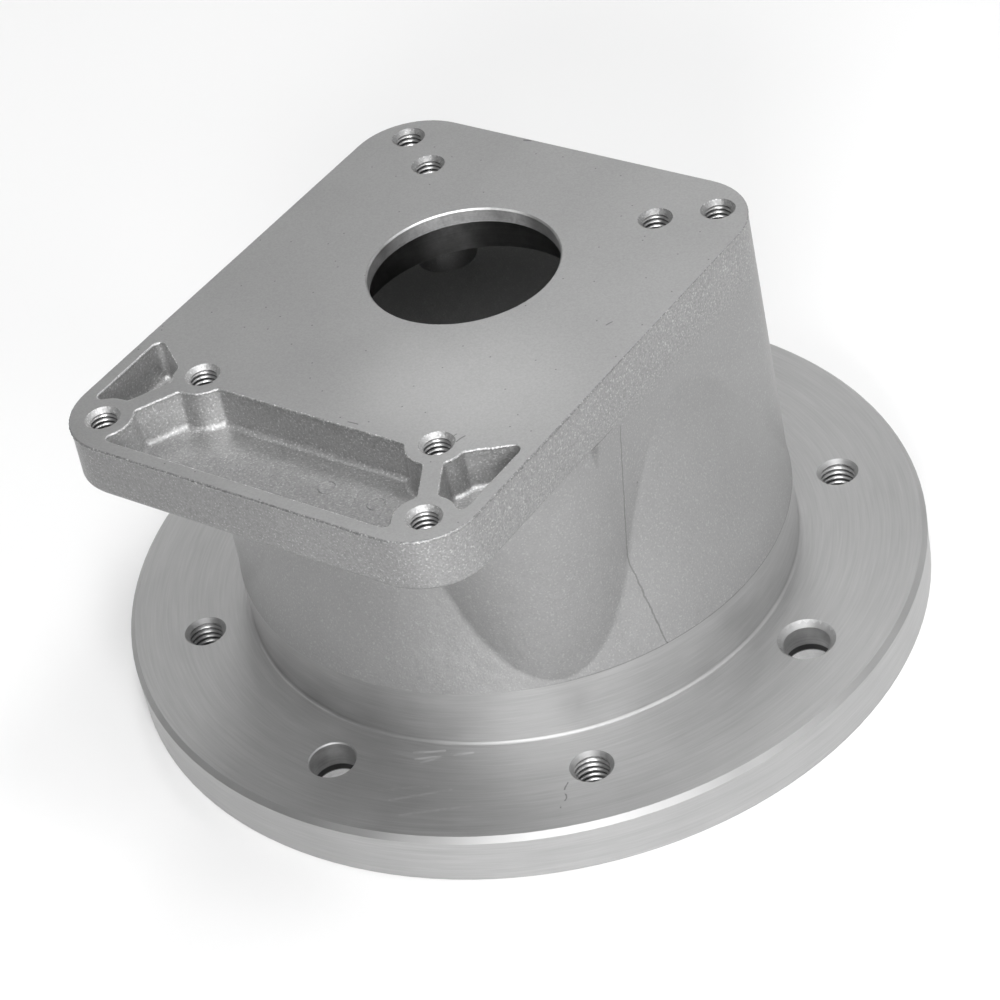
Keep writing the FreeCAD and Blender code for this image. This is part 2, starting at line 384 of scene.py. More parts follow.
@dataclass(frozen=True)
class CastSkin:
    """Die-cast skin: sandy grain with bright specks over soft swells, coarser
    on lip and pockets than on the cone, and painted light on the pocket walls."""

    name: str = "cast_skin"
    shade: float = 0.365
    rough: float = 0.48
    grain_per_mm: float = 2.3
    grain_depth: float = 0.08
    speck_per_mm: float = 2.8
    sandiness: float = 1.0
    swell_per_mm: float = 0.35
    swell_depth: float = 0.12
    # Painted light on pocket walls, pocket floor and hollow; painted shade on the lip front
    painted_pocket_wall_light: float = 0.45
    painted_pocket_floor_light: float = 0.34
    painted_hollow_light: float = 0.25
    painted_lip_front_shade: float = 0.12
    painted_lip_left_shade: float = 0.10

    def parting_line(self, g: Graph) -> Signal:
        """Thin seam of the die on the right side. It climbs the cone at a fixed
        depth, follows the lobe to the plate, and runs on along the lower edge
        of the plate. The cast skin ends in a fine step above the shoulder.

        Args:
            g: Graph of the finish.

        Returns:
            The mask of the seam.
        """
        foot_y, bend_z, lean = -22.9, 42.0, 0.2
        first_y, last_y = -20.0, -60.0
        waver = 0.5 * (g.noise(0.6, 1.0, 21.0) - 0.5)
        run = foot_y + lean * (g.z - bend_z).most(0.0) + waver
        right = g.x.fade(30.0, 34.0)
        climb = (g.y - run).size().fade(0.22, 0.06)
        climb = climb * g.z.fade(LIP_EDGE_Z - 0.5, LIP_EDGE_Z - 1.5)
        edge = (g.z - LIP_EDGE_Z + 0.3 * waver).size().fade(0.14, 0.04)
        edge = edge * g.y.fade(first_y + 1.0, first_y - 1.0)
        edge = edge * g.y.fade(last_y - 2.0, last_y + 2.0)
        step = g.z.fade(SHOULDER_TOP_Z + 0.25, SHOULDER_TOP_Z + 0.10)
        step = step * (1.0 - g.x.fade(44.0, 30.0))
        return right * (climb + 0.8 * edge).least(1.0) + 0.7 * step

    def lift(self, g: Graph) -> Signal:
        """Painted light and shade in the colour of the skin: painted light on the
        pocket walls, on the pocket floor beside the far wall, and in the hollow
        of the bell, and painted shade on the front of the lip, most to the left.

        Args:
            g: Graph of the finish.

        Returns:
            What is added to a brightness of 1.
        """
        pocket = g.x.size().fade(POCKET_HALF_X + 0.2, POCKET_HALF_X - 0.2)
        pocket = pocket * g.y.fade(POCKET_FRONT_Y - 0.2, POCKET_FRONT_Y + 0.2)
        pocket = pocket * (g.x.size() - g.y).fade(
            POCKET_CORNER_SUM + 0.5, POCKET_CORNER_SUM - 0.5)
        pocket = pocket * g.y.fade(POCKET_BACK_Y + 1.0, POCKET_BACK_Y - 1.0)
        walls = g.z.fade(POCKET_FLOOR_Z + 0.2, POCKET_FLOOR_Z + 1.6)
        floor = g.z.fade(POCKET_FLOOR_Z + 1.0, POCKET_FLOOR_Z + 0.3)
        floor = floor * g.z.fade(POCKET_FLOOR_Z - 0.5, POCKET_FLOOR_Z - 0.2)
        floor = floor * g.y.fade(-60.0, -50.0)
        hollow = g.r.fade(40.0, 36.0) * g.z.fade(CAVITY_TOP_Z + 0.4, CAVITY_TOP_Z + 0.1)
        front = g.y.fade(-68.0, -71.3) * g.z.fade(PLATE_TOP_Z - 0.5, PLATE_TOP_Z - 1.0)
        front = front * (self.painted_lip_front_shade + self.painted_lip_left_shade * g.x.fade(35.0, -20.0))
        inside = self.painted_pocket_wall_light * walls + self.painted_pocket_floor_light * floor
        return pocket * inside + self.painted_hollow_light * hollow - front

    def material(self) -> bpy.types.Material:
        """Builds the skin: sand on swells and clouds, with pits and the seam.

        Returns:
            The material.
        """
        g = Graph(self.name)
        coarse = 0.42 + 0.58 * g.z.fade(LIP_EDGE_Z - 3.0, LIP_EDGE_Z + 2.0)
        grain = g.noise(self.grain_per_mm, 1.0) - 0.5
        specks = g.noise(self.speck_per_mm, 0.0, 2.0).fade(0.60, 0.80)
        swell = g.noise(self.swell_per_mm, 1.0, 3.0)
        cloud = g.noise(0.05, 2.0, 7.0)
        seam = self.parting_line(g)
        pits = g.pits(0.12, 0.35, 0.25, 4.0)
        sand = self.sandiness * coarse * (0.62 * grain + 0.42 * specks)
        # Painted light and shade come in through the lift
        shade = self.shade * (0.93 + 0.12 * cloud + sand) * (1.0 + self.lift(g))
        shade = shade * (1.0 - 0.30 * seam) * (1.0 - 0.35 * pits)
        rough = self.rough + 0.07 + 0.14 * grain
        relief = self.grain_depth * coarse * grain
        height = self.swell_depth * swell + relief - 0.03 * seam
        g.metal(shade, rough, g.bump(height), 0.0)
        return g.material


@dataclass(frozen=True)
class TurnedFace:
    """Lathe-turned face: fine streaks round the bore axis."""

    shade: float = 0.485
    rough: float = 0.47
    fine_per_mm: float = 3.0
    wide_per_mm: float = 0.6
    grooved: float = 0.38
    crack: tuple = ((44.3, -51.4), (46.7, -57.3))
    rubs: tuple = (
        ((12.9, -57.2), (18.4, -54.0), 1.0),
        ((14.7, -58.1), (23.4, -52.4), 0.9),
        ((16.3, -58.3), (20.1, -54.3), 0.6),
        ((16.4, -69.1), (25.2, -62.2), 0.5),
        ((20.4, -71.5), (31.0, -64.1), 0.4),
        ((13.1, -67.8), (21.2, -62.9), 0.3))

    def scuffs(self, g: Graph) -> Signal:
        """Light rub marks on the flange in front of the shoulder: thin lines,
        each with its start, its end and its strength.

        Args:
            g: Graph of the finish.

        Returns:
            The marks, between 0 and 1.
        """
        marks = 0.0 * g.z
        for start, end, strength in self.rubs:
            marks = marks.most(strength * g.scratch(start, end, 0.42, 0.9))
        worn = g.noise(0.5, 1.0, 15.0).fade(0.25, 0.60)
        return marks * worn * g.z.fade(FLANGE_T + 0.3, FLANGE_T + 0.1)

    def material(self) -> bpy.types.Material:
        """Builds the face: fine and wide streaks round the axis, haze, rub marks
        and a broken hair line beside one tapped hole.

        Returns:
            The material.
        """
        g = Graph("turned_face")
        along = g.r + g.z + 0.25 * g.noise(0.03, 0.0, 5.0)
        fine = g.brushed(along, self.fine_per_mm, 7.0)
        wide = g.brushed(along, self.wide_per_mm, 2.0)
        haze = g.noise(0.12, 2.0, 2.0)
        crack = g.scratch(*self.crack, 0.24, 1.2)
        crack = crack * g.noise(1.1, 0.0, 14.0).fade(0.40, 0.52)
        scuffs = self.scuffs(g)
        shade = self.shade * (0.76 + 0.26 * fine + 0.12 * wide + 0.10 * haze)
        shade = shade * (1.0 - 0.45 * crack) * (1.0 + 0.30 * scuffs)
        rough = self.rough + 0.08 * fine + 0.08 * haze + 0.05 * scuffs
        g.metal(shade, rough, g.bump(0.006 * fine), self.grooved)
        return g.material


@dataclass(frozen=True)
class MilledFace:
    """Face-milled plate top: nearly even, with a faint haze and fine pits."""

    shade: float = 0.415
    rough: float = 0.36
    painted_highlight_place: tuple[float, float] = (21.0, -31.0)
    hairs: tuple = (
        ((7.8, -47.4), (9.9, -47.2), 0.20, 0.8),
        ((29.3, -44.6), (29.8, -42.7), 0.22, 0.8),
        ((27.5, -44.0), (28.0, -42.9), 0.18, 0.8),
        ((35.6, -6.2), (36.1, -5.0), 0.20, 0.8),
        ((-12.6, 39.6), (-11.4, 39.9), 0.35, 0.2))

    def material(self) -> bpy.types.Material:
        """Builds the face: haze and grain with fine pits, hair scratches (start,
        end, width and wander of each) and one soft painted highlight.

        Returns:
            The material.
        """
        g = Graph("milled_face")
        haze = g.noise(0.05, 2.0, 11.0)
        grain = g.noise(2.6, 1.0, 1.0)
        marks = g.pits(0.14, 0.22, 0.55, 8.0, "2D")
        for hair in self.hairs:
            marks = marks + g.scratch(*hair)
        marks = marks.least(1.0)
        # Painted highlight: a soft brighter place on the plate top
        soft = g.distance(*self.painted_highlight_place).fade(27.0, 4.0)
        shade = self.shade * (0.78 + 0.14 * haze + 0.26 * grain)
        shade = shade * (1.0 - 0.45 * marks) * (0.96 + 0.22 * soft)
        rough = self.rough + 0.08 * haze + 0.06 * grain
        g.metal(shade, rough, g.bump(0.012 * grain), 0.0)
        return g.material


@dataclass(frozen=True)
class BoredWall:
    """Drilled and bored walls. The land of the pilot bore is fine bored, with
    painted light over a band across its middle. The relief under it is smoother,
    with painted shade and one soft painted highlight. The foot of the plain
    flange holes has a painted shadow ring above painted light for the pale floor."""

    name: str = "bored_wall"
    shade: float = 0.42
    rough: float = 0.50
    rings_per_mm: float = 2.5
    painted_relief_shade: float = 0.38
    painted_relief_highlight_place: tuple[float, float] = (-15.7, 15.4)
    painted_ring_low_z: float = 3.2
    painted_ring_high_z: float = 4.9

    def material(self) -> bpy.types.Material:
        """Builds the walls: tool rings and grain, with stains.

        Returns:
            The material.
        """
        g = Graph(self.name)
        rings = g.node(
            "ShaderNodeTexNoise", {"noise_dimensions": "1D"},
            {"W": g.z, "Scale": self.rings_per_mm, "Detail": 2.0})
        grain = g.noise(2.0, 1.0, 9.0)
        pilot = g.r.fade(RELIEF_R + 2.0, RELIEF_R + 1.0)
        relief = pilot * g.z.fade(LAND_BOTTOM_Z + 0.1, LAND_BOTTOM_Z)
        across = 0.82 * g.x + 0.55 * g.y
        # Painted light on the land, over a band across its middle
        land = (pilot - relief) * across.fade(-16.0, -8.0) * across.fade(15.0, 9.0)
        # Painted highlight on the relief wall
        painted_relief_highlight = relief * g.distance(*self.painted_relief_highlight_place).fade(8.5, 0.5)
        stain = g.noise(0.22, 2.0, 6.0) - 0.5
        shade = self.shade * (0.76 + 0.24 * rings + 0.24 * grain + 0.9 * stain)
        # Painted shade on the relief, with painted highlight there and painted light on the land
        shade = shade * (1.0 - self.painted_relief_shade * relief) * (1.0 + 1.1 * painted_relief_highlight + land)
        # Painted shadow ring in the plain holes, with painted light below it for the pale floor
        # seen through them
        ring = g.z.fade(self.painted_ring_low_z, self.painted_ring_low_z + 0.3)
        ring = ring * g.z.fade(self.painted_ring_high_z, self.painted_ring_high_z - 0.4)
        light = g.z.fade(self.painted_ring_low_z + 0.1, self.painted_ring_low_z - 0.1)
        shade = shade * (1.0 - 0.85 * ring) + 0.5 * light
        rough = self.rough + 0.14 * grain - 0.24 * relief + 0.05 * painted_relief_highlight + 0.3 * light
        g.metal(shade, rough, g.bump(0.004 * rings), 0.0)
        return g.material


@dataclass(frozen=True)
class CutThread:
    """Cut thread: bright crests over painted shade in the roots. The depth below
    the crests is the distance from the axis of the nearest hole of the same size."""

    name: str
    places: tuple
    drill_r: float
    depth: float
    shade: float = 0.62
    rough: float = 0.30
    painted_root_shade: float = 0.72

    def material(self) -> bpy.types.Material:
        """Builds the finish, with painted shade and more roughness towards the roots.

        Returns:
            The material.
        """
        g = Graph(self.name)
        wide = g.x.size()
        away = g.distance(*self.places[0], wide)
        for x, y in self.places[1:]:
            away = away.least(g.distance(x, y, wide))
        root = away.fade(self.drill_r + 0.15 * self.depth, self.drill_r + 0.85 * self.depth)
        grain = g.noise(2.0, 1.0, 9.0)
        # Painted shade, deeper towards the thread roots
        shade = self.shade * (0.8 + 0.4 * grain) * (1.0 - self.painted_root_shade * root)
        g.metal(shade, self.rough + 0.2 * root, g.bump(0.01 * grain), 0.0)
        return g.material


@dataclass(frozen=True)
class Table:
    """Pale matt table under the housing."""

    shade: float = 0.92
    rough: float = 0.9

    def material(self) -> bpy.types.Material:
        """Builds the even matt finish.

        Returns:
            The material.
        """
        g = Graph("pale_table")
        grey = (self.shade, self.shade, self.shade, 1.0)
        shader = g.node(
            "ShaderNodeBsdfPrincipled", {}, {"Base Color": grey, "Roughness": self.rough})
        g.raw("ShaderNodeOutputMaterial", {}, {"Surface": shader})
        return g.material


# Meshes

def put_mesh(name: str, points: np.ndarray, faces: np.ndarray) -> bpy.types.Object:
    """Makes an object from whole arrays.

    Args:
        name: Name of the piece.
        points: Places in metres, one row each.
        faces: Corner numbers, one row per face, all with as many corners.

    Returns:
        The new object, at the origin.
    """
    count, corners = faces.shape
    mesh = bpy.data.meshes.new(name)
    mesh.vertices.add(len(points))
    mesh.vertices.foreach_set("co", points.astype(np.float32).ravel())
    mesh.loops.add(count * corners)
    mesh.loops.foreach_set("vertex_index", faces.astype(np.int32).ravel())
    mesh.polygons.add(count)
    mesh.polygons.foreach_set("loop_start", np.arange(count, dtype=np.int32) * corners)
    mesh.polygons.foreach_set("loop_total", np.full(count, corners, np.int32))
    mesh.update(calc_edges=True)
    mesh.polygons.foreach_set("use_smooth", np.ones(count, bool))
    piece = bpy.data.objects.new(name, mesh)
    bpy.context.scene.collection.objects.link(piece)
    return piece


def grid_of(x: np.ndarray, y: np.ndarray, z: np.ndarray) -> np.ndarray:
    """Grid of places from coordinates that are spread to one common shape."""
    return np.stack(np.broadcast_arrays(x, y, z), axis=-1)


def grid_faces(rows: int, columns: int) -> np.ndarray:
    """Quads of a grid of points numbered row by row, whose columns close on
    themselves.

    Args:
        rows: Points along the first parameter.
        columns: Points along the second parameter.

    Returns:
        Four corner numbers per quad, facing out where rows run downwards
        and columns turn to the left.
    """
    number = np.arange(rows * columns).reshape(rows, columns)
    onwards = np.roll(number, -1, axis=1)
    quads = np.stack([number[:-1], number[1:], onwards[1:], onwards[:-1]], axis=-1)
    return quads.reshape(-1, 4)


def put_grids(name: str, grids: list[np.ndarray], inwards: bool = False) -> bpy.types.Object:
    """Joins grids of places, closed along their columns, into one piece.

    Args:
        name: Name of the piece.
        grids: Grids of places in mm.
        inwards: Whether the faces look towards the middle of the grids.

    Returns:
        The new object.
    """
    faces, used = [], 0
    for grid in grids:
        rows, columns = grid.shape[:2]
        faces.append(grid_faces(rows, columns) + used)
        used += rows * columns
    quads = np.vstack(faces)
    places = np.vstack([grid.reshape(-1, 3) for grid in grids])
    return put_mesh(name, places * MM, quads[:, ::-1] if inwards else quads)


def dress(piece: bpy.types.Object, *materials: bpy.types.Material) -> None:
    """Gives a piece its materials and lets it ride on the housing.

    Args:
        piece: The finished piece.
        materials: Its material slots in order.
    """
    for material in materials:
        piece.data.materials.append(material)
    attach(piece, BODY)
    log.info("%s: %d faces", piece.name, len(piece.data.polygons))


@dataclass
class Casting:
    """The casting itself: the solid's own surface with exact soft shading."""

    merge: float = 0.002
    foot_bevel: float = 0.35
    near: float = 0.02
    soft_deg: dict = field(default_factory=lambda: {
        Finish.CAST: 62.0, Finish.TURNED: 25.0, Finish.MILLED: 10.0, Finish.BORED: 30.0})
    rims: list[np.ndarray] = field(default_factory=list)
    floors: list[np.ndarray] = field(default_factory=list)

    def read(self) -> tuple[np.ndarray, np.ndarray]:
        """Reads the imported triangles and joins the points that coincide.

        Returns:
            Places in mm and corner numbers.
        """
        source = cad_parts[NODE].data
        source.calc_loop_triangles()
        flat = np.empty(len(source.vertices) * 3, np.float32)
        source.vertices.foreach_get("co", flat)
        corners = np.empty(len(source.loop_triangles) * 3, np.int32)
        source.loop_triangles.foreach_get("vertices", corners)
        places = flat.reshape(-1, 3).astype(float) / MM
        key = np.round(places / self.merge).astype(np.int64)
        _, first, number = np.unique(key, axis=0, return_index=True, return_inverse=True)
        triangles = number.reshape(-1)[corners].reshape(-1, 3)
        distinct = (
            (triangles[:, 0] != triangles[:, 1]) & (triangles[:, 1] != triangles[:, 2])
            & (triangles[:, 2] != triangles[:, 0]))
        return places[first], triangles[distinct]

    def tighten_foot(self, points: np.ndarray) -> None:
        """Narrows the bevel at the foot of the shoulder for its fine rounding.
        Its outer edge slides in along the flange, its upper one down along the
        shoulder.

        Args:
            points: Places in mm, changed in place.
        """
        radius = np.hypot(points[:, 0], points[:, 1])
        near = 1.5 * self.near
        outer = (np.abs(radius - SHOULDER_R - FOOT_BEVEL) < near) & (
            np.abs(points[:, 2] - FLANGE_T) < near)
        upper = (np.abs(radius - SHOULDER_R) < near) & (
            np.abs(points[:, 2] - FLANGE_T - FOOT_BEVEL) < near)
        points[outer, :2] *= (SHOULDER_R + self.foot_bevel) / (SHOULDER_R + FOOT_BEVEL)
        points[upper, 2] = FLANGE_T + self.foot_bevel

    @staticmethod
    def facing(points: np.ndarray, triangles: np.ndarray) -> np.ndarray:
        """Normal of each triangle times twice its area: the cross product of
        two of its sides.

        Args:
            points: Places in mm.
            triangles: Corner numbers.

        Returns:
            One vector per triangle.
        """
        a, b, c = (points[triangles[:, k]] for k in range(3))
        return np.cross(b - a, c - a)

    def sort(self, points: np.ndarray, triangles: np.ndarray, normals: np.ndarray) -> np.ndarray:
        """Tells the finish of each triangle from its place.

        Args:
            points: Places in mm.
            triangles: Corner numbers.
            normals: Unit normals.

        Returns:
            One Finish value per triangle, or TAPPED.
        """
        corner = points[triangles]
        low_z, high_z = corner[..., 2].min(axis=1), corner[..., 2].max(axis=1)
        radius = np.hypot(corner[..., 0], corner[..., 1])
        inner, outer = radius.min(axis=1), radius.max(axis=1)
        near, eighth = self.near, TAU / FLANGE_HOLES
        finish = np.full(len(triangles), Finish.CAST.value)
        turned = (high_z < SHOULDER_TOP_Z + near) & (inner > SHOULDER_R - 0.3)
        turned |= (high_z < RECESS_TOP_Z + near) & (inner > HOLLOW_MOUTH_R - 0.5)
        finish[turned] = Finish.TURNED.value
        finish[low_z > PLATE_TOP_Z - near] = Finish.MILLED.value
        bored = (outer < RELIEF_R + near) & (low_z > CAVITY_TOP_Z - near)
        middle = corner.mean(axis=1)
        turn = np.arctan2(middle[:, 1], middle[:, 0])
        nearest = np.round(turn / eighth) * eighth
        off = np.hypot(
            middle[:, 0] - BOLT_CIRCLE_R * np.cos(nearest),
            middle[:, 1] - BOLT_CIRCLE_R * np.sin(nearest))
        level = np.abs(normals[:, 2]) > 0.99
        upright = np.abs(normals[:, 2]) < 0.05
        bored |= (high_z < FLANGE_T + near) & (off < FLANGE_HOLE_REACH) & ~level
        for x, y in M6_PLACES:
            away = np.hypot(np.abs(middle[:, 0]) - x, middle[:, 1] - y)
            inside = (away < M6_DRILL_R + near) & (low_z > BELOW_M6_Z)
            bored |= inside & ~(level & (high_z > PLATE_TOP_Z - near))
            drilled = inside & (high_z < PLATE_TOP_Z - M6_CHAMFER + near)
            finish[drilled & upright] = TAPPED
        finish[bored & (finish != Finish.MILLED.value) & (finish != TAPPED)] = Finish.BORED.value
        tapped_turn = np.round(turn / eighth).astype(int) % 2 == 1
        drilled = (off < M8_DRILL_R + near) & (high_z < FLANGE_T - M8_CHAMFER + near)
        finish[drilled & upright & tapped_turn] = TAPPED
        return finish

    def soften(
        self, triangles: np.ndarray, facing: np.ndarray, normals: np.ndarray,
        finish: np.ndarray, count: int,
    ) -> np.ndarray:
        """Corner normals: at each corner the sum of the area-weighted normals of
        the triangles around that point which share its finish and lie within
        the finish's angle of its own normal.

        Args:
            triangles: Corner numbers.
            facing: Normals times twice the area.
            normals: Unit normals.
            finish: Finish value per triangle.
            count: Number of points.

        Returns:
            One unit normal per corner.
        """
        owner = triangles.ravel()
        face = np.repeat(np.arange(len(triangles)), 3)
        order = np.argsort(owner, kind="stable")
        valence = np.bincount(owner, minlength=count)
        start = np.concatenate([[0], np.cumsum(valence)[:-1]])
        around = valence[owner]
        mine = np.repeat(np.arange(len(owner)), around)
        step = np.arange(len(mine)) - np.repeat(np.cumsum(around) - around, around)
        other = order[start[owner[mine]] + step]
        limit = np.empty(len(Finish))
        for kind, angle in self.soft_deg.items():
            limit[kind.value] = math.cos(math.radians(angle))
        a, b = face[mine], face[other]
        alike = np.einsum("ij,ij->i", normals[a], normals[b]) > limit[finish[a]]
        keep = alike & (finish[a] == finish[b])
        total = np.zeros((len(owner), 3))
        np.add.at(total, mine[keep], facing[b[keep]])
        return total / np.linalg.norm(total, axis=1, keepdims=True)

    @staticmethod
    def trace(points: np.ndarray, inner: np.ndarray, outer: np.ndarray) -> list[np.ndarray]:
        """Closed lines where two groups of triangles meet.

        Args:
            points: Places in mm.
            inner: Corner numbers of the triangles on the left of the lines.
            outer: Corner numbers of the triangles on their right.

        Returns:
            One array of places per line, in order along it.
        """
        edges = inner[:, [0, 1, 1, 2, 2, 0]].reshape(-1, 2)
        others = outer[:, [1, 0, 2, 1, 0, 2]].reshape(-1, 2)
        shared = set(map(tuple, edges.tolist())) & set(map(tuple, others.tolist()))
        onwards = dict(sorted(shared))
        lines = []
        while onwards:
            start, here = onwards.popitem()
            line = [start]
            while here in onwards:
                line.append(here)
                here = onwards.pop(here)
            lines.append(points[line])
        return lines

    def build(self) -> bpy.types.Object:
        """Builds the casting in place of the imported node.

        Returns:
            The undressed piece.
        """
        points, triangles = self.read()
        self.tighten_foot(points)
        facing = self.facing(points, triangles)
        area = np.linalg.norm(facing, axis=1)
        real = area > 1e-7
        triangles, facing, area = triangles[real], facing[real], area[real]
        normals = facing / area[:, None]
        finish = self.sort(points, triangles, normals)
        kept = finish != TAPPED
        triangles, facing, normals = triangles[kept], facing[kept], normals[kept]
        finish = finish[kept]
        soft = self.soften(triangles, facing, normals, finish, len(points))
        cast = finish == Finish.CAST.value
        self.rims = self.trace(
            points, triangles[finish == Finish.MILLED.value], triangles[cast])
        high_z = points[triangles][..., 2].max(axis=1)
        low = cast & (high_z < POCKET_FLOOR_Z + POCKET_BEVEL + self.near)
        floor = low & (normals[:, 2] > 0.99) & (
            np.abs(high_z - POCKET_FLOOR_Z) < self.near)
        bevel = low & (normals[:, 2] > 0.4) & (normals[:, 2] < 0.9)
        self.floors = self.trace(points, triangles[floor], triangles[bevel])
        piece = put_mesh("bell_casting", points * MM, triangles)
        piece.data.polygons.foreach_set("material_index", finish.astype(np.int32))
        piece.data.normals_split_custom_set(soft)
        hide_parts(NODE)
        return piece


@dataclass
class FootFillet:
    """Rounded foot where the turned shoulder meets the flange: a quarter ring
    of radius round_r whose centre circle lies outside and above the corner."""

    round_r: float = 0.65
    lift: float = 0.01
    turns: int = 256
    steps: int = 12

    def build(self) -> bpy.types.Object:
        """Radius = shoulder + R - R sin(t) and height = flange + R - R cos(t),
        turned about the bore axis, for t from the shoulder to the flange.

        Returns:
            The undressed piece.
        """
        t = np.linspace(math.pi / 2, 0.0, self.steps)[:, None]
        turn = np.arange(self.turns)[None, :] * TAU / self.turns
        r = SHOULDER_R + self.lift + self.round_r * (1.0 - np.sin(t))
        z = FLANGE_T + self.lift + self.round_r * (1.0 - np.cos(t))
        return put_grids("foot_fillet", [grid_of(r * np.cos(turn), r * np.sin(turn), z)])


class Walk:
    """Even steps along a closed line in plan, with the direction on its right."""

    def __init__(self, line: np.ndarray, spacing: float) -> None:
        """Divides the line into steps.

        Args:
            line: Corner places of the line in mm.
            spacing: Length of a step in mm.
        """
        closed = np.vstack([line, line[:1]])[:, :2]
        lengths = np.linalg.norm(np.diff(closed, axis=0), axis=1)
        run = np.concatenate([[0.0], np.cumsum(lengths)])
        self.length = run[-1]
        self.count = max(int(self.length / spacing), 12)
        at = np.arange(self.count) * self.length / self.count
        self.places = np.stack([np.interp(at, run, closed[:, k]) for k in (0, 1)], axis=-1)
        ahead = np.roll(self.places, -1, axis=0) - np.roll(self.places, 1, axis=0)
        ahead /= np.linalg.norm(ahead, axis=1, keepdims=True)
        self.right = np.stack([ahead[:, 1], -ahead[:, 0]], axis=-1)
        onwards = np.roll(ahead, -1, axis=0)
        turned = ahead[:, 0] * onwards[:, 1] - ahead[:, 1] * onwards[:, 0]
        self.left_turn = turned * self.count / self.length

    def sweep(self, out: np.ndarray, z: np.ndarray) -> np.ndarray:
        """Carries a section along the line.

        Args:
            out: Distance to the right of the line in mm, with a row per section
                point and a column per step.
            z: Heights in mm, laid out alike.

        Returns:
            Grid of places in mm.
        """
        flat = self.places[None] + out[..., None] * self.right[None]
        return grid_of(flat[..., 0], flat[..., 1], z)


@dataclass
class EdgeBead:
    """Broken edge of the cast skin round the milled top: an irregular bead
    that the cutter leaves along plate, pockets and hole mouths."""

    rims: list[np.ndarray]
    spacing: float = 0.22
    half_width: float = 0.42
    half_height: float = 0.44
    hole_share: float = 0.4
    far_share: float = 0.45
    longest_hole: float = 30.0
    slow_steps: int = 9
    sides: int = 10
    seed: int = 7

    def tube(self, walk: Walk, rng: np.random.Generator) -> np.ndarray:
        """Tube of oval section about a rim. Its size is a share of the full
        size: 0.5 + 0.3 x random^2 + 0.2 x slow random, and falls off to the far
        side of the plate. Its top stays flush with the plate.

        Args:
            walk: Steps along the rim.
            rng: Source of the unevenness.

        Returns:
            Grid of places in mm, one row per side of the tube.
        """
        rough = rng.random(walk.count)
        knots = np.arange(0, walk.count + self.slow_steps, self.slow_steps)
        slow = np.interp(np.arange(walk.count), knots, rng.random(len(knots)))
        place_share = np.interp(walk.places[:, 1], (-36.0, -10.0), (1.0, self.far_share))
        if walk.length < self.longest_hole:
            place_share = np.full(walk.count, self.hole_share)
        share = place_share * (0.50 + 0.30 * rough ** 2 + 0.20 * slow)
        turn = -np.arange(self.sides + 1)[:, None] * TAU / self.sides
        out = self.half_width * share * np.cos(turn)
        up = self.half_height * share * (np.sin(turn) - 1.0)
        return walk.sweep(out, PLATE_TOP_Z + up)

    def build(self) -> bpy.types.Object:
        """Joins the tubes of all rims into one piece.

        Returns:
            The undressed piece.
        """
        rng = np.random.default_rng(self.seed)
        walks = [Walk(rim, self.spacing) for rim in self.rims]
        return put_grids("skin_edge_bead", [self.tube(walk, rng) for walk in walks])


@dataclass
class FloorFillet:
    """Sandy rounding between floor and wall of the pockets, over the bevel."""

    lines: list[np.ndarray]
    spacing: float = 0.25
    height: float = 1.15
    reach: float = 1.10
    steps: int = 7
    lift: float = 0.005
    seed: int = 11

    def strip(self, walk: Walk, rng: np.random.Generator) -> np.ndarray:
        """Hollow quarter oval. For an angle from 90 degrees on the floor to 0 on
        the wall it lies reach x (1 - cos) in from the wall foot and height x
        (1 - sin) up. Where the line turns tightly the reach ends at the centre
        of the turn.

        Args:
            walk: Steps along the inner edge of the bevel.
            rng: Source of the unevenness.

        Returns:
            Grid of places in mm, one row per step of the section.
        """
        inwards = np.minimum(
            self.reach - POCKET_BEVEL, 0.9 / np.maximum(walk.left_turn, 0.1))
        for _ in range(2):
            inwards = np.minimum(inwards, (np.roll(inwards, 1) + np.roll(inwards, -1)) / 2)
        inwards = inwards * (0.9 + 0.2 * rng.random(walk.count))
        angle = np.linspace(math.pi / 2, 0.0, self.steps)[:, None]
        up = self.height * (1.0 - np.sin(angle)) * (0.95 + 0.1 * rng.random(walk.count))
        out = POCKET_BEVEL - (POCKET_BEVEL + inwards) * (1.0 - np.cos(angle))
        return walk.sweep(out + POCKET_DRAFT * up, POCKET_FLOOR_Z + self.lift + up)

    def build(self) -> bpy.types.Object:
        """Joins the strips of all pockets into one piece.

        Returns:
            The undressed piece.
        """
        rng = np.random.default_rng(self.seed)
        walks = [Walk(line, self.spacing) for line in self.lines]
        return put_grids("pocket_floor_fillet", [self.strip(walk, rng) for walk in walks])


@dataclass
class EjectorRings:
    """Fine round outlines that the ejector pins left in the pocket floor."""

    places: tuple = ((7.8, -56.4), (18.8, -56.7))
    ring_r: float = 1.6
    wire_r: float = 0.17
    sunk: float = 0.03
    turns: int = 48
    sides: int = 8

    def build(self) -> bpy.types.Object:
        """Rings of radius R + r cos(t) at height floor - sunk + r sin(t) about
        each place, so that a little over half of each lies in the floor.

        Returns:
            The undressed piece.
        """
        t = -np.arange(self.sides + 1)[:, None] * TAU / self.sides
        turn = np.arange(self.turns)[None, :] * TAU / self.turns
        r = self.ring_r + self.wire_r * np.cos(t)
        z = POCKET_FLOOR_Z - self.sunk + self.wire_r * np.sin(t)
        return put_grids("ejector_rings", [
            grid_of(x + r * np.cos(turn), y + r * np.sin(turn), z)
            for x, y in self.places])


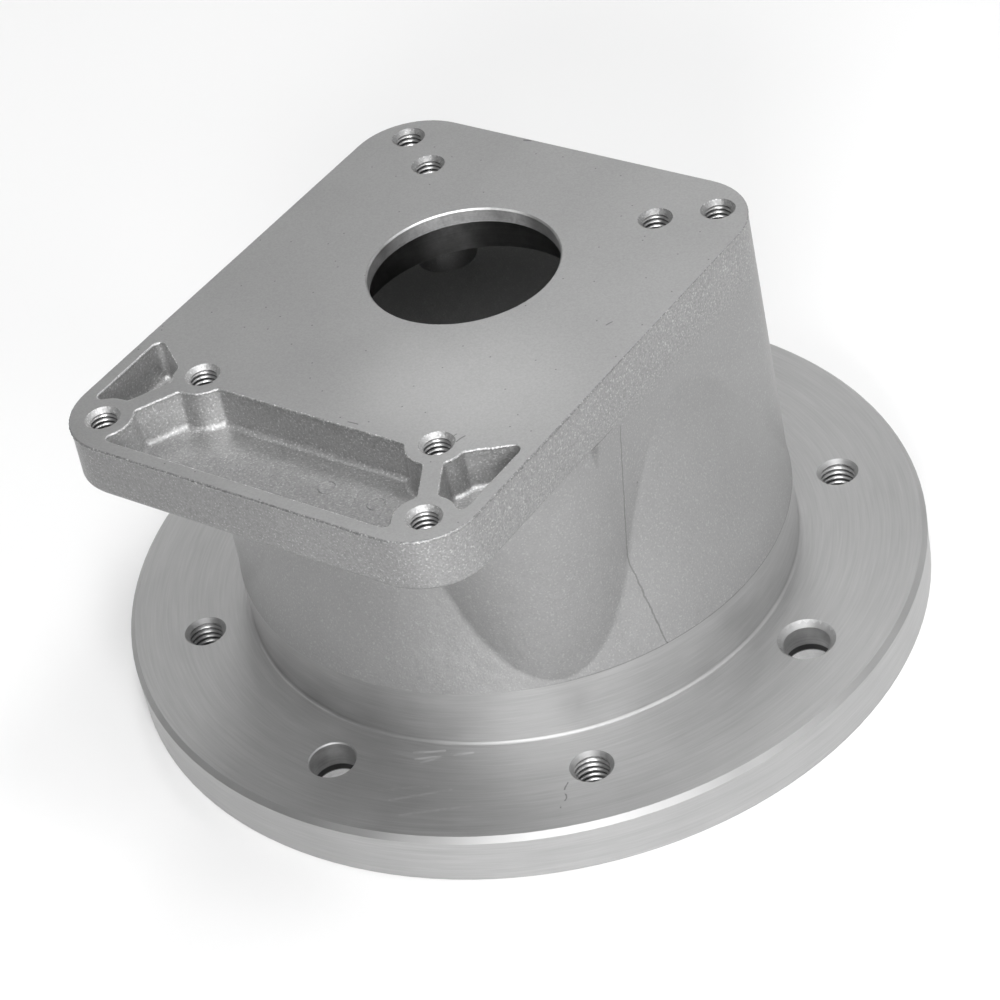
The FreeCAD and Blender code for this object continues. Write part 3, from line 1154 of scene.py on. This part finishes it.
@dataclass
class Thread:
    """Cut right-hand thread in the wall of a drilled hole."""

    name: str
    place: tuple[float, float]
    top_z: float
    bottom_z: float
    drill_r: float
    depth: float
    pitch: float
    clear: float = 0.01
    turns: int = 44
    per_pitch: int = 10

    def build(self) -> bpy.types.Object:
        """Wall radius = drill radius + depth x groove, where the groove is a
        triangle wave of height / pitch - turn with a flat crest and a blunt
        root, and fades out over a third of a pitch at both ends.

        Returns:
            The undressed piece.
        """
        rows = int((self.top_z - self.bottom_z) / self.pitch * self.per_pitch) + 1
        z = np.linspace(self.top_z, self.bottom_z, rows)[:, None]
        turn = np.arange(self.turns)[None, :] * TAU / self.turns
        wave = np.abs(2.0 * ((z / self.pitch - turn / TAU) % 1.0) - 1.0)
        groove = np.clip(1.12 - 1.3 * wave, 0.0, 0.95)
        run_out = self.pitch / 3.0
        ends = np.minimum(self.top_z - z, z - self.bottom_z) / run_out
        r = self.drill_r + self.clear + self.depth * groove * np.clip(ends, 0.0, 1.0)
        x, y = self.place
        wall = grid_of(x + r * np.cos(turn), y + r * np.sin(turn), z)
        return put_grids(self.name, [wall], inwards=True)


def threads() -> list[Thread]:
    """Threads of the tapped holes of pump plate and motor flange.

    Returns:
        One thread per tapped hole.
    """
    found = []
    for k, ((x, y), depth) in enumerate(zip(M6_PLACES, M6_DEPTHS)):
        for side, sx in (("right", 1), ("left", -1)):
            found.append(Thread(
                f"pump_thread_{side}_{k}", (sx * x, y), PLATE_TOP_Z - M6_CHAMFER,
                PLATE_TOP_Z - depth, M6_DRILL_R, M6_THREAD_DEPTH, M6_PITCH))
    for k in range(4):
        turn = math.radians(45.0 + 90.0 * k)
        place = (BOLT_CIRCLE_R * math.cos(turn), BOLT_CIRCLE_R * math.sin(turn))
        found.append(Thread(
            f"motor_thread_{k}", place, FLANGE_T - M8_CHAMFER, 0.0,
            M8_DRILL_R, M8_THREAD_DEPTH, M8_PITCH))
    return found


@dataclass(frozen=True)
class SoftBox:
    """Square soft light 1.6 m away, aimed at the middle of the housing."""

    name: str
    azimuth: float
    elevation: float
    power: float
    size: float = 0.4
    distance: float = 1.6

    def build(self) -> None:
        """Hangs the light at its angle, in degrees, with its power in watts."""
        data = bpy.data.lights.new(self.name, "AREA")
        data.energy = self.power
        data.size = self.size
        lamp = bpy.data.objects.new(self.name, data)
        a, e = math.radians(self.azimuth), math.radians(self.elevation)
        towards = Vector((math.cos(a) * math.cos(e), math.sin(a) * math.cos(e), math.sin(e)))
        lamp.location = Vector((0.0, 0.0, PLATE_TOP_Z * MM / 2)) + towards * self.distance
        lamp.rotation_euler = towards.to_track_quat("Z", "Y").to_euler()
        bpy.context.scene.collection.objects.link(lamp)


@dataclass
class Studio:
    """Table, soft lights and camera."""

    room_level: float = 0.348
    room_tilt: float = 0.79
    room_azimuth: float = 81.0
    lights: tuple = (
        SoftBox("front_low", -30.0, 20.0, 3.4),
        SoftBox("front_left_low", -60.0, 20.0, 11.5),
        SoftBox("front_left", -75.0, 42.0, 0.7),
        SoftBox("back", 120.0, 55.0, 3.0),
        SoftBox("right_high", 30.0, 65.0, 3.9),
        SoftBox("right_low", 0.0, 20.0, 2.5),
        SoftBox("far_left", 180.0, 50.0, 1.2),
        SoftBox("front_high", -45.0, 60.0, 9.2),
        SoftBox("spark", -40.0, 50.0, 0.8, 0.1),
    )
    table_r: float = 3.0
    table_gap: float = 0.0001
    sensor_mm: float = 36.0
    lens_mm: float = 112.284
    camera_place: tuple = (0.3170397, -0.3618909, 0.4032598)
    camera_forward: tuple = (-0.5203677, 0.5880545, -0.6192006)
    camera_right: tuple = (0.8176559, 0.5522443, -0.1626807)

    def table(self) -> None:
        """Lays a round table under the housing."""
        turns = 96
        turn = np.arange(turns) * TAU / turns
        rim = self.table_r * np.stack([np.cos(turn), np.sin(turn), 0.0 * turn], axis=-1)
        rim[:, 2] = -self.table_gap
        faces = np.arange(turns)[None, :]
        table = put_mesh("table", rim, faces)
        table.data.materials.append(Table().material())

    def world(self) -> None:
        """Fills the room with soft light that rises from one side to the other:
        level x (1 + tilt x cosine of the angle to the bright side)."""
        world = bpy.data.worlds.new("room")
        world.use_nodes = True
        nodes = Nodes(world.node_tree)
        a = math.radians(self.room_azimuth)
        towards = nodes.node("ShaderNodeTexCoord", {}, {}, "Generated")
        cosine = nodes.node(
            "ShaderNodeVectorMath", {"operation": "DOT_PRODUCT"},
            {0: towards, 1: (math.cos(a), math.sin(a), 0.0)}, "Value")
        level = self.room_level + (self.room_level * self.room_tilt) * cosine
        back = nodes.node("ShaderNodeBackground", {}, {"Color": WHITE, "Strength": level})
        nodes.raw("ShaderNodeOutputWorld", {}, {"Surface": back})
        bpy.context.scene.world = world

    def camera(self) -> None:
        """Stands the camera where the photograph was taken from."""
        data = bpy.data.cameras.new("camera")
        data.sensor_width = self.sensor_mm
        data.lens = self.lens_mm
        camera = bpy.data.objects.new("camera", data)
        forward = Vector(self.camera_forward).normalized()
        right = Vector(self.camera_right).normalized()
        up = right.cross(forward)
        turn = Matrix((right, up, -forward)).transposed().to_4x4()
        camera.matrix_world = Matrix.Translation(self.camera_place) @ turn
        bpy.context.scene.collection.objects.link(camera)
        bpy.context.scene.camera = camera

    def build(self) -> None:
        """Sets up the whole studio."""
        bpy.context.scene.view_settings.view_transform = "Standard"
        self.table()
        self.world()
        for light in self.lights:
            light.build()
        self.camera()


def main() -> None:
    """Builds studio and pieces in order."""
    logging.basicConfig(level=logging.INFO, format="%(name)s: %(message)s")
    Studio().build()
    housing = Casting()
    casting = housing.build()
    finishes = (
        CastSkin().material(), TurnedFace().material(),
        MilledFace().material(), BoredWall().material())
    dress(casting, *finishes)
    dress(FootFillet().build(), finishes[Finish.TURNED.value])
    broken = CastSkin("broken_edge", 0.35, 0.48, sandiness=1.8).material()
    rounded = CastSkin("rounded_floor", 0.41, 0.46, sandiness=1.1).material()
    dress(EdgeBead(housing.rims).build(), broken)
    dress(FloorFillet(housing.floors).build(), rounded)
    dress(EjectorRings().build(), finishes[Finish.CAST.value])
    m8_place = BOLT_CIRCLE_R * math.sqrt(0.5)
    m6 = CutThread("pump_thread", M6_PLACES, M6_DRILL_R, M6_THREAD_DEPTH).material()
    m8 = CutThread(
        "motor_thread", ((m8_place, m8_place), (m8_place, -m8_place)),
        M8_DRILL_R, M8_THREAD_DEPTH).material()
    for thread in threads():
        dress(thread.build(), m6 if thread.drill_r == M6_DRILL_R else m8)


if __name__ == "__main__":
    main()
